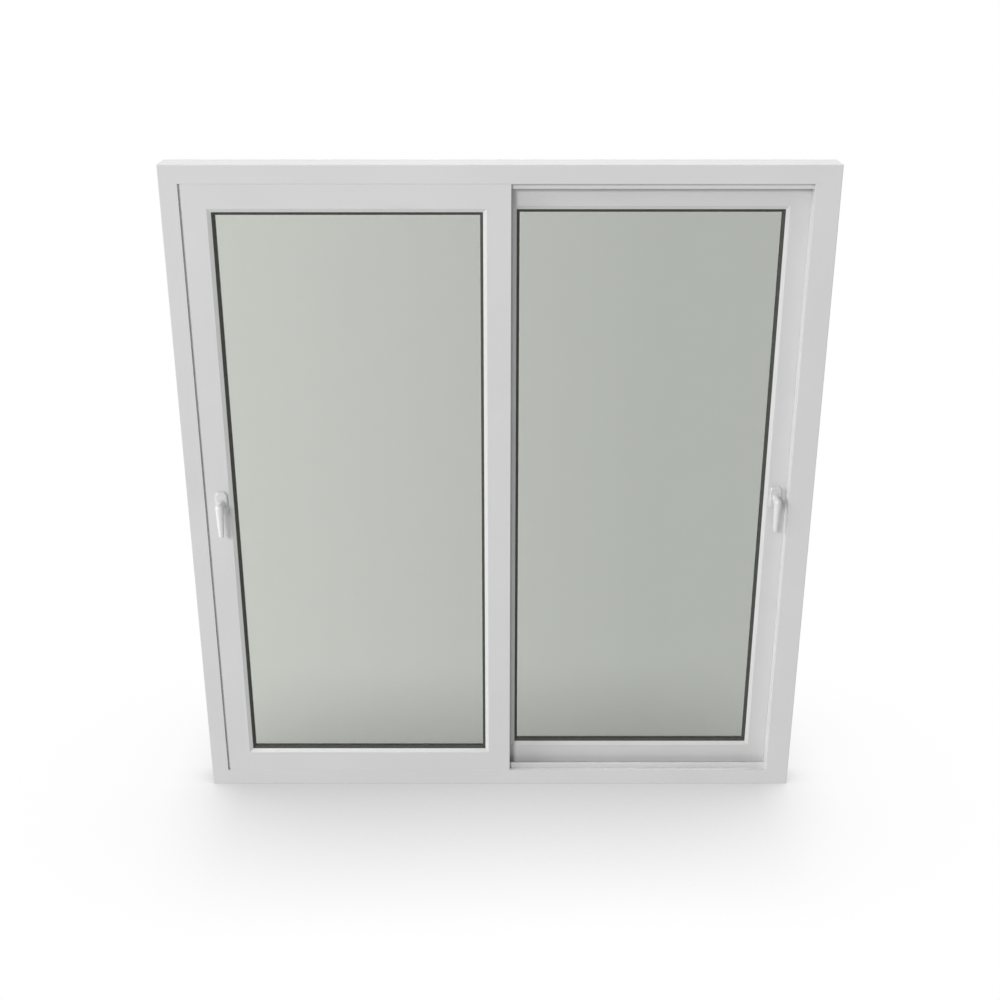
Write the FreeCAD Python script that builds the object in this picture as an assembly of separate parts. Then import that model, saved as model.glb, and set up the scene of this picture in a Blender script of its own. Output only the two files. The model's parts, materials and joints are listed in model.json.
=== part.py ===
import FreeCAD, Part
import math
import os

os.makedirs("parts", exist_ok=True)

# Outer frame
frame_width = 1800.0
frame_height = 1914.0
frame_depth = 90.0
frame_face = 50.0
frame_edge_radius = 2.0
jamb_flange_width = 19.0
flange_clearance = 1.0

# Side groove between a jamb and its sash, and the rib that closes it
groove_depth = 10.0
rib_clearance = 1.0

# Guide fin below the head, in the middle of each track
fin_thickness = 6.0
fin_drop = 15.5
fin_clearance = 1.0
fin_edge_radius = 1.0

# Running rail on the sill, in the middle of each track
rail_width = 6.0
rail_height = 15.5
rail_clearance = 1.0
rail_edge_radius = 1.0

# Drain slots in the sill's weather face
drain_length = 28.0
drain_height = 5.0
drain_depth = 12.0
drain_rise = 14.0
drain_end_distance = 200.0

# Sashes
sash_thickness = 38.0
sash_face = 65.0
sash_edge_radius = 0.6
sash_side_gap = 7.0
sash_top_gap = 0.2
sash_spacing = 5.0
meeting_overlap = 60.0

# Glazing rebate, bead and gaskets
rebate_inset = 57.0
bead_bevel_width = 10.0
bead_bevel_depth = 7.0
bead_depth = 9.0
gasket_thickness = 3.0
gasket_lip_width = 8.0
gasket_lip_rise = 5.0
gasket_tuck = 11.0
rear_bevel_depth = 3.0

# Sealed glass unit
pane_thickness = 4.0
pane_gap = 6.0
pane_edge_inset = 61.0
spacer_inset = 64.0
spacer_width = 19.0

# Brush seal between the meeting stiles
brush_width = 8.0
brush_offset = 6.0

# Lever handles
handle_inset = 43.0
rosette_width = 33.0
rosette_height = 66.0
rosette_thickness = 10.0
rosette_corner_radius = 11.0
rosette_edge_chamfer = 2.5
neck_radius = 10.5
neck_gap = 0.5
lever_projection = 58.0
lever_back_gap = 42.0
lever_head_radius = 11.8
lever_tip_radius = 7.5
lever_reach = 84.0

# Overshoot of cutting tools, and the distance within which an edge lies on a face
over = 5.0
touch = 0.01

half_width = frame_width / 2
half_depth = frame_depth / 2
front_y = -half_depth
front_sash_back = front_y + sash_thickness
rear_y = front_sash_back + sash_spacing
jamb_inner = half_width - frame_face
flange_inner = jamb_inner - jamb_flange_width
left_edge = -jamb_inner + sash_side_gap
right_edge = jamb_inner - sash_side_gap
sash_width = (right_edge - left_edge + meeting_overlap) / 2
sill_top = frame_face
head_soffit = frame_height - frame_face
sash_height = head_soffit - sash_top_gap - sill_top
glass_front = bead_depth + gasket_thickness
glass_back = glass_front + 2 * pane_thickness + pane_gap
lip_front = glass_back + gasket_thickness
bead_edge = sash_face + bead_bevel_width


def vec(x, y, z):
    return FreeCAD.Vector(x, y, z)


def section(points):
    """Face in the y-z plane from (inset, depth, corner radius) points."""
    count = len(points)
    trims = []
    for index in range(count):
        prev_p = points[index - 1]
        this_p = points[index]
        next_p = points[(index + 1) % count]
        corner = vec(0, this_p[1], this_p[0])
        to_prev = vec(0, prev_p[1], prev_p[0]).sub(corner).normalize()
        to_next = vec(0, next_p[1], next_p[0]).sub(corner).normalize()
        radius = this_p[2]
        if radius == 0:
            trims.append((corner, None, corner))
            continue
        half_angle = to_prev.getAngle(to_next) / 2
        reach = radius / math.tan(half_angle)
        bisector = (to_prev + to_next).normalize()
        middle = corner + bisector * (radius / math.sin(half_angle) - radius)
        trims.append((corner + to_prev * reach, middle, corner + to_next * reach))
    edges = []
    for index in range(count):
        start, middle, end = trims[index]
        if middle is not None:
            edges.append(Part.Arc(start, middle, end).toShape())
        edges.append(Part.makeLine(end, trims[(index + 1) % count][0]))
    return Part.Face(Part.Wire(edges))


def member(points, length):
    """Bar along x with 45 degree mitres; inset runs along z, depth along y."""
    bar = section(points).extrude(vec(length, 0, 0))
    top = max(p[0] for p in points) + over
    deep = max(p[1] for p in points) + 2 * over
    for side in (0, 1):
        base = side * length
        sign = 1 - 2 * side
        corners = [
            vec(base - sign * over, -over, -over),
            vec(base + sign * top, -over, top),
            vec(base - sign * over, -over, top),
        ]
        wedge = Part.Face(Part.makePolygon(corners + corners[:1]))
        bar = bar.cut(wedge.extrude(vec(0, deep, 0)))
    return bar


def ring(points, left, bottom, wide, tall, y):
    """Four mitred bars round a rectangle, as bottom, left, top and right."""
    spots = [
        ("bottom", wide, 0, vec(left, y, bottom)),
        ("left", tall, 90, vec(left, y, bottom + tall)),
        ("top", wide, 180, vec(left + wide, y, bottom + tall)),
        ("right", tall, 270, vec(left + wide, y, bottom)),
    ]
    bars = {}
    for side, length, turn, spot in spots:
        bar = member(points, length)
        bar.rotate(vec(0, 0, 0), vec(0, 1, 0), turn)
        bar.translate(spot)
        bars[side] = bar
    return bars


def joined(bars):
    """One closed ring from four mitred bars."""
    shapes = list(bars.values())
    return shapes[0].multiFuse(shapes[1:]).removeSplitter()


def box(x0, x1, y0, y1, z0, z1):
    return Part.makeBox(x1 - x0, y1 - y0, z1 - z0, vec(x0, y0, z0))


def save(name, shape):
    shape.exportStep("parts/" + name + ".step")


# Frame bars, one box section with rounded long edges
frame_points = [
    (0, 0, frame_edge_radius),
    (frame_face, 0, sash_edge_radius),
    (frame_face, frame_depth, sash_edge_radius),
    (0, frame_depth, frame_edge_radius),
]
frame = ring(frame_points, -half_width, 0, frame_width, frame_height, front_y)


def jamb_strip(inner, y0, y1):
    """Upright strip on the inside of the right jamb, reaching in to x = inner."""
    return box(inner, jamb_inner + over, y0, y1, sill_top, head_soffit)


def flange(y0, y1, face_y):
    """Track-closing flange of a jamb, with its edge on the open face rounded."""
    block = jamb_strip(flange_inner, y0, y1)
    rounded = []
    for edge in block.Edges:
        mid = edge.BoundBox.Center
        on_face = abs(mid.y - face_y) < touch
        on_edge = abs(mid.x - flange_inner) < touch
        if on_face and on_edge:
            rounded.append(edge)
    return block.makeFillet(sash_edge_radius, rounded)


def mirrored(shape):
    return shape.mirror(vec(0, 0, 0), vec(1, 0, 0))


front_flange_back = rear_y - flange_clearance
rear_flange_front = front_sash_back + flange_clearance
front_flange = flange(front_y, front_flange_back, front_y)
rear_flange = flange(rear_flange_front, half_depth, half_depth)
rib_inner = right_edge + rib_clearance
rear_rib = jamb_strip(rib_inner, front_flange_back, rear_y + sash_thickness - groove_depth)
front_rib = jamb_strip(rib_inner, front_y + groove_depth, rear_flange_front)
right_jamb = frame["right"].multiFuse([front_flange, rear_rib]).removeSplitter()
left_strips = [mirrored(rear_flange), mirrored(front_rib)]
left_jamb = frame["left"].multiFuse(left_strips).removeSplitter()


def guide_bar(sash_front, thickness, z0, z1, free_z, radius):
    """Bar along the middle of a sash's track, with its two long edges at free_z rounded."""
    middle = sash_front + sash_thickness / 2
    bar = box(-flange_inner, flange_inner, middle - thickness / 2, middle + thickness / 2, z0, z1)
    rounded = []
    for edge in bar.Edges:
        level = edge.BoundBox.Center.z
        if abs(level - free_z) < touch and edge.BoundBox.XLength > touch:
            rounded.append(edge)
    return bar.makeFillet(radius, rounded)


fin_foot = head_soffit - fin_drop
rail_top = sill_top + rail_height
head = frame["top"]
sill = frame["bottom"]
for track_front in (front_y, rear_y):
    fin = guide_bar(track_front, fin_thickness, fin_foot, head_soffit + over, fin_foot, fin_edge_radius)
    rail = guide_bar(track_front, rail_width, sill_top - over, rail_top, rail_top, rail_edge_radius)
    head = head.fuse(fin).removeSplitter()
    sill = sill.fuse(rail).removeSplitter()


def drain_slot(x):
    """Round-ended slot sunk into the weather face at x."""
    radius = drain_height / 2
    run = drain_length / 2 - radius
    mouth = half_depth - drain_depth
    slot = box(x - run, x + run, mouth, half_depth + over, drain_rise - radius, drain_rise + radius)
    for end in (x - run, x + run):
        foot = vec(end, mouth, drain_rise)
        slot = slot.fuse(Part.makeCylinder(radius, drain_depth + over, foot, vec(0, 1, 0)))
    return slot.removeSplitter()


drain_reach = half_width - drain_end_distance
for x in (-drain_reach, 0, drain_reach):
    sill = sill.cut(drain_slot(x))

save("frame_head", head)
save("frame_sill", sill)
save("frame_left_jamb", left_jamb)
save("frame_right_jamb", right_jamb)

# Sash bars: box with a rear lip that the glass sits against
sash_points = [
    (0, 0, sash_edge_radius),
    (rebate_inset, 0, 0),
    (rebate_inset, lip_front, 0),
    (bead_edge, lip_front, 0),
    (bead_edge, sash_thickness - rear_bevel_depth, 0),
    (sash_face, sash_thickness, 0),
    (0, sash_thickness, sash_edge_radius),
]

# Glazing bead clipped in front of the glass
bead_points = [
    (rebate_inset, 0, 0),
    (sash_face, 0, 0),
    (bead_edge, bead_bevel_depth, 0),
    (bead_edge, bead_depth, 0),
    (rebate_inset, bead_depth, 0),
]

# Gaskets with a sloping lip on the glass
lip_edge = bead_edge + gasket_lip_width
tuck_edge = bead_edge - gasket_tuck
front_gasket_points = [
    (tuck_edge, bead_depth, 0),
    (bead_edge, bead_depth, 0),
    (bead_edge, glass_front - gasket_lip_rise, 0),
    (lip_edge, glass_front, 0),
    (tuck_edge, glass_front, 0),
]
rear_gasket_points = [
    (tuck_edge, glass_back, 0),
    (lip_edge, glass_back, 0),
    (bead_edge, lip_front + rear_bevel_depth / 2, 0),
    (bead_edge, lip_front, 0),
    (tuck_edge, lip_front, 0),
]

# Spacer bar between the panes
spacer_front = glass_front + pane_thickness
spacer_points = [
    (spacer_inset, spacer_front, 0),
    (spacer_inset + spacer_width, spacer_front, 0),
    (spacer_inset + spacer_width, spacer_front + pane_gap, 0),
    (spacer_inset, spacer_front + pane_gap, 0),
]


def pane(left, y):
    return box(
        left + pane_edge_inset,
        left + sash_width - pane_edge_inset,
        y,
        y + pane_thickness,
        sill_top + pane_edge_inset,
        sill_top + sash_height - pane_edge_inset,
    )


def grooved(bars, y):
    """Sash bars cut to run along the head's fin, and to stand on the sill's rail."""
    middle = y + sash_thickness / 2
    fin_half = fin_thickness / 2 + fin_clearance
    rail_half = rail_width / 2 + rail_clearance
    reach = half_width + over
    fin_y = (middle - fin_half, middle + fin_half)
    rail_y = (middle - rail_half, middle + rail_half)
    fin_groove = box(-reach, reach, *fin_y, fin_foot - fin_clearance, head_soffit + over)
    rail_groove = box(-reach, reach, *rail_y, sill_top - over, rail_top)
    return {side: bar.cut(fin_groove).cut(rail_groove) for side, bar in bars.items()}


def sash(name, left, y, outer_side):
    """Bars, beads, gaskets and sealed glass of one sash."""
    meeting_side = "left" if outer_side == "right" else "right"
    places = {
        "bottom": "bottom_rail",
        "top": "top_rail",
        outer_side: "outer_stile",
        meeting_side: "meeting_stile",
    }
    spot = (left, sill_top, sash_width, sash_height, y)
    bars = grooved(ring(sash_points, *spot), y)
    beads = ring(bead_points, *spot)
    for side, place in places.items():
        save(name + "_" + place, bars[side])
        save(name + "_" + place + "_bead", beads[side])
    save(name + "_front_gasket", joined(ring(front_gasket_points, *spot)))
    save(name + "_rear_gasket", joined(ring(rear_gasket_points, *spot)))
    save(name + "_spacer", joined(ring(spacer_points, *spot)))
    save(name + "_room_pane", pane(left, y + glass_front))
    save(name + "_weather_pane", pane(left, y + glass_back - pane_thickness))


sash("left_sash", left_edge, front_y, "left")
sash("right_sash", right_edge - sash_width, rear_y, "right")

# Brush strip on the rear sash, filling the gap between the meeting stiles
brush_left = right_edge - sash_width + brush_offset
brush = box(
    brush_left,
    brush_left + brush_width,
    front_sash_back,
    rear_y,
    sill_top,
    head_soffit - sash_top_gap,
)
save("meeting_brush_seal", brush)


def lever():
    """Tapering round-nosed lever with a flat back; its spindle runs along y at the origin."""
    y = lever_head_radius - lever_projection
    tangent_z = (lever_tip_radius - lever_head_radius) / lever_reach
    tilt = math.asin(tangent_z)
    head_turn = (math.pi / 2 + tilt) / 2
    tip_turn = (tilt - math.pi / 2) / 2

    def at(radius, angle, z):
        return vec(radius * math.cos(angle), y, z + radius * math.sin(angle))

    head_top = at(lever_head_radius, math.pi / 2, 0)
    head_side = at(lever_head_radius, tilt, 0)
    tip_side = at(lever_tip_radius, tilt, -lever_reach)
    tip_end = at(lever_tip_radius, -math.pi / 2, -lever_reach)
    half_outline = Part.Wire([
        Part.Arc(head_top, at(lever_head_radius, head_turn, 0), head_side).toShape(),
        Part.makeLine(head_side, tip_side),
        Part.Arc(tip_side, at(lever_tip_radius, tip_turn, -lever_reach), tip_end).toShape(),
        Part.makeLine(tip_end, head_top),
    ])
    grip = Part.Face(half_outline).revolve(vec(0, y, 0), vec(0, 0, 1), 360)
    reach = lever_reach + lever_projection
    grip = grip.cut(box(-reach, reach, -lever_back_gap, reach, -reach, reach))
    neck_start = rosette_thickness + neck_gap
    neck_end = lever_projection - lever_head_radius
    neck = Part.makeCylinder(
        neck_radius, neck_end - neck_start, vec(0, -neck_start, 0), vec(0, -1, 0)
    )
    return grip.fuse(neck).removeSplitter()


def rosette():
    """Base plate with rounded corners and a chamfered room-side edge."""
    half_w = rosette_width / 2
    half_h = rosette_height / 2
    plate = box(-half_w, half_w, -rosette_thickness, 0, -half_h, half_h)
    corners = []
    for edge in plate.Edges:
        if edge.BoundBox.YLength > rosette_thickness / 2:
            corners.append(edge)
    plate = plate.makeFillet(rosette_corner_radius, corners)
    rim = []
    for edge in plate.Edges:
        flat = edge.BoundBox.YLength < touch
        if flat and edge.BoundBox.Center.y < -rosette_thickness / 2:
            rim.append(edge)
    return plate.makeChamfer(rosette_edge_chamfer, rim)


handle_height = frame_height / 2
handle_spots = [
    ("left_handle", vec(left_edge + handle_inset, front_y, handle_height)),
    ("right_handle", vec(right_edge - handle_inset, rear_y, handle_height)),
]
for name, spot in handle_spots:
    save(name + "_rosette", rosette().translated(spot))
    save(name + "_lever", lever().translated(spot))
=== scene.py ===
import json
import math

import bpy
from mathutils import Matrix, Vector


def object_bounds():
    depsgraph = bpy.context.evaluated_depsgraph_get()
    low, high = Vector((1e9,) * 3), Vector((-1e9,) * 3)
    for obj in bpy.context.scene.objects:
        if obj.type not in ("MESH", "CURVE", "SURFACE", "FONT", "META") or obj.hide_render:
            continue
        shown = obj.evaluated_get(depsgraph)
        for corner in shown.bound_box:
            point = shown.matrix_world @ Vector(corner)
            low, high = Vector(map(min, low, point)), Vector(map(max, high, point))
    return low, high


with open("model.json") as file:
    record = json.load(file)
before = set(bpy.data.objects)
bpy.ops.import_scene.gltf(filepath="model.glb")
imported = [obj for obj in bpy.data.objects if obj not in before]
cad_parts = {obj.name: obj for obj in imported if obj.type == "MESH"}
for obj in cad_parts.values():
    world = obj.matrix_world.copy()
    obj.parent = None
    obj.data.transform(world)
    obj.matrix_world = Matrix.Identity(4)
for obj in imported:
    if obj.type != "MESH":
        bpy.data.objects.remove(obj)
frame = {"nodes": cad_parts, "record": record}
cad_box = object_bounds()
half_width = cad_box[1][0]

# Camera of the photograph, in metres and degrees
CAMERA_PLACE = (0.0, -3.7375, 2.4941)
CAMERA_DOWN_TILT = 22.5
CAMERA_LENS_MM = 50.0
CAMERA_SENSOR_MM = 36.0

# Round key lamp
KEY_PLACE = (-4.3, -12.0, 6.8)
KEY_AIM = (0.0, 0.0, 0.95)
KEY_WATTS = 880.0
KEY_DIAMETER = 3.2

# Even sky, and soft suns as (name, azimuth, elevation, strength, spread)
SKY_STRENGTH = 0.08
SUNS = [
    ("left", 75.0, 20.0, 1.55, 30.0),
    ("top", 20.0, 75.0, 0.2, 40.0),
    ("back", 180.0, 55.0, 2.0, 50.0),
]

# Floor: the light it throws up, and its contact shadow, which weakens between two distances
# measured outwards from the object's sides
FLOOR_SIZE = 60.0
FLOOR_GLOW = 0.76
SHADOW_REACH = 0.75
SHADOW_DEPTH = 0.80
SHADOW_END_SHARE = 0.45
SHADOW_FADE = (-0.10, 0.15)

# Whites, as the dark and the light grey of their clouding; the rear sash's and the handles' whites
# also carry painted shade and painted light
FRONT_GREYS = (0.64, 0.66)
# Painted shade: the rear sash's white is greyer to stand in for the shade it sits in
REAR_PAINTED_SHADE_GREYS = (0.595, 0.615)
# Painted light and shade: brighter levers than base plates, and a greyer right handle than left,
# stand in for how the light falls
HANDLE_PAINTED_LIGHT_GREYS = {
    "left_handle_lever": (0.76, 0.79),
    "left_handle_rosette": (0.66, 0.69),
    "right_handle_lever": (0.63, 0.66),
    "right_handle_rosette": (0.585, 0.61),
}

# Finish of the whites, as the clouding's scale and the roughness
PLASTIC_FINISH = {
    "frame_white": (4.0, 0.42),
    "sash_white": (5.0, 0.40),
    "bead_white": (7.0, 0.38),
}
HANDLE_FINISH = (30.0, 0.24)

# Other colours, each as dark and light
GASKET_COLOURS = ((0.037, 0.039, 0.032), (0.054, 0.056, 0.049))
SPACER_COLOURS = ((0.006, 0.007, 0.006), (0.012, 0.013, 0.012))
PILE_COLOURS = ((0.16, 0.16, 0.16), (0.30, 0.30, 0.30))

# Brush seal, with its noise drawn out upwards
PILE_ROUGH = 0.95
PILE_STRETCH = (1.0, 1.0, 0.15)

# Glass: its own grey-green tint at the left end, and that tint darkened by painted shade at the right
# end, of a stretch of the window's width
GLASS_TINT_AND_PAINTED_SHADE = ((0.737, 0.749, 0.719), (0.640, 0.656, 0.630))
GLASS_PAINTED_SHADE_SPAN = (-0.75, 0.45)
GLASS_IOR = 1.5
GLASS_SPECULAR = 0.1
GLASS_LIGHT_PASS = (0.92, 0.92, 0.92, 1.0)

# Stretches of a noise over which a colour or a gloss changes
SOFT_BAND = (0.3, 0.7)
FIRM_BAND = (0.35, 0.65)
WHOLE_BAND = (0.0, 1.0)

WHITE = (1.0, 1.0, 1.0, 1.0)


def show(tree, surface):
    """Wire a shader to the output of a material or of the world."""
    output = next(node for node in tree.nodes if node.type.startswith("OUTPUT"))
    tree.links.new(surface, output.inputs["Surface"])


def material(name):
    """Node material that has only its output."""
    mat = bpy.data.materials.new(name)
    mat.use_nodes = True
    tree = mat.node_tree
    tree.nodes.clear()
    tree.nodes.new("ShaderNodeOutputMaterial")
    return mat, tree


def principled(name):
    """Node material with its Principled shader wired to the output."""
    mat, tree = material(name)
    shader = tree.nodes.new("ShaderNodeBsdfPrincipled")
    show(tree, shader.outputs["BSDF"])
    return mat, tree, shader


def noise(tree, scale, detail, stretch=(1.0, 1.0, 1.0)):
    """Noise in the object's own metres, stretched along an axis where asked."""
    coords = tree.nodes.new("ShaderNodeTexCoord")
    mapping = tree.nodes.new("ShaderNodeMapping")
    mapping.inputs["Scale"].default_value = stretch
    texture = tree.nodes.new("ShaderNodeTexNoise")
    texture.inputs["Scale"].default_value = scale
    texture.inputs["Detail"].default_value = detail
    tree.links.new(coords.outputs["Object"], mapping.inputs["Vector"])
    tree.links.new(mapping.outputs["Vector"], texture.inputs["Vector"])
    return texture.outputs["Fac"]


def object_x(tree):
    """Place from left to right, in metres from the middle."""
    coords = tree.nodes.new("ShaderNodeTexCoord")
    place = tree.nodes.new("ShaderNodeSeparateXYZ")
    tree.links.new(coords.outputs["Object"], place.inputs["Vector"])
    return place.outputs["X"]


def span(tree, factor, band, values):
    """Number that goes from the first value to the second as factor crosses the band."""
    node = tree.nodes.new("ShaderNodeMapRange")
    names = ("From Min", "From Max", "To Min", "To Max")
    for name, number in zip(names, (*band, *values)):
        node.inputs[name].default_value = number
    tree.links.new(factor, node.inputs["Value"])
    return node.outputs["Result"]


def one_minus(tree, factor):
    return span(tree, factor, WHOLE_BAND, WHOLE_BAND[::-1])


def arithmetic(tree, operation, *values):
    """Math node of one operation on the values."""
    node = tree.nodes.new("ShaderNodeMath")
    node.operation = operation
    for socket, value in zip(node.inputs, values):
        tree.links.new(value, socket)
    return node.outputs["Value"]


def mixed(tree, factor, first, second):
    """First shader where factor is 0, second where it is 1."""
    node = tree.nodes.new("ShaderNodeMixShader")
    for socket, value in zip(node.inputs, (factor, first, second)):
        tree.links.new(value, socket)
    return node.outputs["Shader"]


def paint(tree, shader, factor, band, colours):
    """Base colour that goes from the first colour to the second as factor crosses the band."""
    node = tree.nodes.new("ShaderNodeValToRGB")
    for element, place, colour in zip(node.color_ramp.elements, band, colours):
        element.position = place
        element.color = (*colour, 1.0)
    tree.links.new(factor, node.inputs["Fac"])
    tree.links.new(node.outputs["Color"], shader.inputs["Base Color"])


def uneven_gloss(tree, shader, rough, swing, scale, detail):
    """Roughness that drifts by a swing to either side."""
    drift = noise(tree, scale, detail)
    level = span(tree, drift, SOFT_BAND, (rough - swing, rough + swing))
    tree.links.new(level, shader.inputs["Roughness"])


def bump(tree, shader, height, strength, distance):
    """Fine relief from a noise."""
    node = tree.nodes.new("ShaderNodeBump")
    node.inputs["Strength"].default_value = strength
    node.inputs["Distance"].default_value = distance
    tree.links.new(height, node.inputs["Height"])
    tree.links.new(node.outputs["Normal"], shader.inputs["Normal"])


def white_plastic(name, greys, cloud_scale, rough):
    """Extruded white plastic with faint clouding, uneven gloss and a fine orange peel."""
    mat, tree, shader = principled(name)
    cloud = noise(tree, cloud_scale, detail=6.0)
    paint(tree, shader, cloud, FIRM_BAND, [(grey, grey, grey) for grey in greys])
    uneven_gloss(tree, shader, rough, swing=0.06, scale=40.0, detail=3.0)
    peel = noise(tree, scale=700.0, detail=2.0)
    bump(tree, shader, peel, strength=0.05, distance=0.0003)
    return mat


def rubber(name, colours, rough, specular):
    """Mottled rubber with a fine grain."""
    mat, tree, shader = principled(name)
    shader.inputs["Specular IOR Level"].default_value = specular
    mottle = noise(tree, scale=90.0, detail=4.0)
    paint(tree, shader, mottle, SOFT_BAND, colours)
    uneven_gloss(tree, shader, rough, swing=0.08, scale=200.0, detail=2.0)
    grain = noise(tree, scale=1500.0, detail=2.0)
    bump(tree, shader, grain, strength=0.15, distance=0.0002)
    return mat


def pile(name):
    """Upright fibres of the brush seal."""
    mat, tree, shader = principled(name)
    fibres = noise(tree, scale=1600.0, detail=2.0, stretch=PILE_STRETCH)
    paint(tree, shader, fibres, FIRM_BAND, PILE_COLOURS)
    shader.inputs["Roughness"].default_value = PILE_ROUGH
    bump(tree, shader, fibres, strength=0.6, distance=0.0006)
    return mat


def glass(name):
    """Grey-green pane with painted shade darkening it to the right, that lets lamp light through to
    what is behind.
    """
    mat, tree, shader = principled(name)
    shader.inputs["Transmission Weight"].default_value = 1.0
    shader.inputs["IOR"].default_value = GLASS_IOR
    shader.inputs["Specular IOR Level"].default_value = GLASS_SPECULAR
    # Painted shade: the tint darkens from left to right over the window's width
    painted_shade_over_width = span(tree, object_x(tree), GLASS_PAINTED_SHADE_SPAN, WHOLE_BAND)
    paint(tree, shader, painted_shade_over_width, WHOLE_BAND, GLASS_TINT_AND_PAINTED_SHADE)
    uneven_gloss(tree, shader, rough=0.01, swing=0.01, scale=5.0, detail=3.0)
    ripple = noise(tree, scale=3.0, detail=1.0)
    bump(tree, shader, ripple, strength=0.02, distance=0.002)
    clear = tree.nodes.new("ShaderNodeBsdfTransparent")
    clear.inputs["Color"].default_value = GLASS_LIGHT_PASS
    shadow_ray = tree.nodes.new("ShaderNodeLightPath").outputs["Is Shadow Ray"]
    show(tree, mixed(tree, shadow_ray, shader.outputs["BSDF"], clear.outputs["BSDF"]))
    return mat


# One material for each slot of the record but the handles'
looks = {
    "gasket_black": rubber("gasket_black", GASKET_COLOURS, rough=0.60, specular=0.3),
    "spacer_black": rubber("spacer_black", SPACER_COLOURS, rough=0.70, specular=0.1),
    "brush_grey": pile("brush_grey"),
    "glass_clear": glass("glass_clear"),
}
for slot, finish in PLASTIC_FINISH.items():
    looks[slot] = white_plastic(slot, FRONT_GREYS, *finish)

# Painted shade: the right sash, at the rear, gets a greyer white that stands in for the shade it sits
# in
rear_painted_shade_looks = {}
for slot in ("sash_white", "bead_white"):
    rear_painted_shade_looks[slot] = white_plastic("rear_" + slot, REAR_PAINTED_SHADE_GREYS, *PLASTIC_FINISH[slot])

# Painted light and shade: the levers get a brighter white than their base plates, and the right
# handle a greyer white than the left
handle_painted_light_looks = {}
for piece, greys in HANDLE_PAINTED_LIGHT_GREYS.items():
    handle_painted_light_looks[piece] = white_plastic(piece + "_white", greys, *HANDLE_FINISH)


def look_of(node, slot):
    """Material of a node: its own on a handle, with painted light and shade, a white greyed by
    painted shade on the rear sash, or its slot's.
    """
    if node in handle_painted_light_looks:
        return handle_painted_light_looks[node]
    if node.startswith("right_sash") and slot in rear_painted_shade_looks:
        return rear_painted_shade_looks[slot]
    return looks[slot]


for part in frame["record"]["subparts"]:
    mesh = frame["nodes"][part["node"]].data
    mesh.materials.clear()
    mesh.materials.append(look_of(part["node"], part["material_slot"]))


def placed(name, data):
    """New object of the scene."""
    holder = bpy.data.objects.new(name, data)
    bpy.context.scene.collection.objects.link(holder)
    return holder


def seen_rays(tree):
    """1 where the camera, glass or gloss looks, 0 where light is gathered."""
    path = tree.nodes.new("ShaderNodeLightPath")
    seen = path.outputs["Is Camera Ray"]
    for kind in ("Is Glossy Ray", "Is Transmission Ray"):
        seen = arithmetic(tree, "MAXIMUM", seen, path.outputs[kind])
    return seen


def white_glow(tree, kind, strength=1.0):
    """White Background or Emission shader."""
    node = tree.nodes.new(kind)
    node.inputs["Color"].default_value = WHITE
    node.inputs["Strength"].default_value = strength
    return node


def sky():
    """Even grey light on the object; white where the camera, glass or gloss sees the sky."""
    world = bpy.data.worlds.new("studio_sky")
    bpy.context.scene.world = world
    world.use_nodes = True
    tree = world.node_tree
    tree.nodes.clear()
    tree.nodes.new("ShaderNodeOutputWorld")
    light = white_glow(tree, "ShaderNodeBackground", SKY_STRENGTH)
    white = white_glow(tree, "ShaderNodeBackground")
    show(tree, mixed(tree, seen_rays(tree), light.outputs["Background"], white.outputs["Background"]))


def key_lamp():
    """Round soft lamp in front on the left, hidden from the camera, through glass too."""
    lamp = bpy.data.lights.new("key", "AREA")
    lamp.shape = "DISK"
    lamp.size = KEY_DIAMETER
    lamp.energy = KEY_WATTS
    holder = placed("key", lamp)
    holder.location = KEY_PLACE
    way = Vector(KEY_AIM) - Vector(KEY_PLACE)
    holder.rotation_euler = way.to_track_quat("-Z", "Y").to_euler()
    holder.visible_camera = False
    holder.visible_transmission = False


def sun(name, azimuth, elevation, strength, spread):
    """Soft sun; azimuth 0 shines from the camera's side, positive from the left."""
    lamp = bpy.data.lights.new(name, "SUN")
    lamp.energy = strength
    lamp.angle = math.radians(spread)
    holder = placed(name, lamp)
    holder.rotation_euler = (math.radians(90.0 - elevation), 0.0, -math.radians(azimuth))


def floor_paper(name):
    """White with a contact shadow where it is seen; an even glow where light is gathered."""
    mat, tree = material(name)
    contact = tree.nodes.new("ShaderNodeAmbientOcclusion")
    contact.inputs["Distance"].default_value = SHADOW_REACH
    aside = arithmetic(tree, "ABSOLUTE", object_x(tree))
    fade = [half_width + past for past in SHADOW_FADE]
    depth = span(tree, aside, fade, (SHADOW_DEPTH, SHADOW_DEPTH * SHADOW_END_SHARE))
    shadow = arithmetic(tree, "MULTIPLY", depth, one_minus(tree, contact.outputs["AO"]))
    paper = white_glow(tree, "ShaderNodeEmission")
    tree.links.new(one_minus(tree, shadow), paper.inputs["Strength"])
    glow = white_glow(tree, "ShaderNodeEmission", FLOOR_GLOW)
    show(tree, mixed(tree, seen_rays(tree), glow.outputs["Emission"], paper.outputs["Emission"]))
    mat.cycles.emission_sampling = "NONE"
    return mat


def floor():
    half = FLOOR_SIZE / 2
    corners = [(-half, -half, 0.0), (half, -half, 0.0), (half, half, 0.0), (-half, half, 0.0)]
    mesh = bpy.data.meshes.new("studio_floor")
    mesh.from_pydata(corners, [], [(0, 1, 2, 3)])
    mesh.materials.append(floor_paper("studio_floor"))
    plane = placed("studio_floor", mesh)


def camera():
    data = bpy.data.cameras.new("photo_camera")
    data.lens = CAMERA_LENS_MM
    data.sensor_width = CAMERA_SENSOR_MM
    data.clip_end = 2 * FLOOR_SIZE
    holder = placed("photo_camera", data)
    holder.location = CAMERA_PLACE
    holder.rotation_euler = (math.radians(90.0 - CAMERA_DOWN_TILT), 0.0, 0.0)
    bpy.context.scene.camera = holder


sky()
key_lamp()
for settings in SUNS:
    sun(*settings)
floor()
camera()
bpy.context.scene.view_settings.view_transform = "Standard"
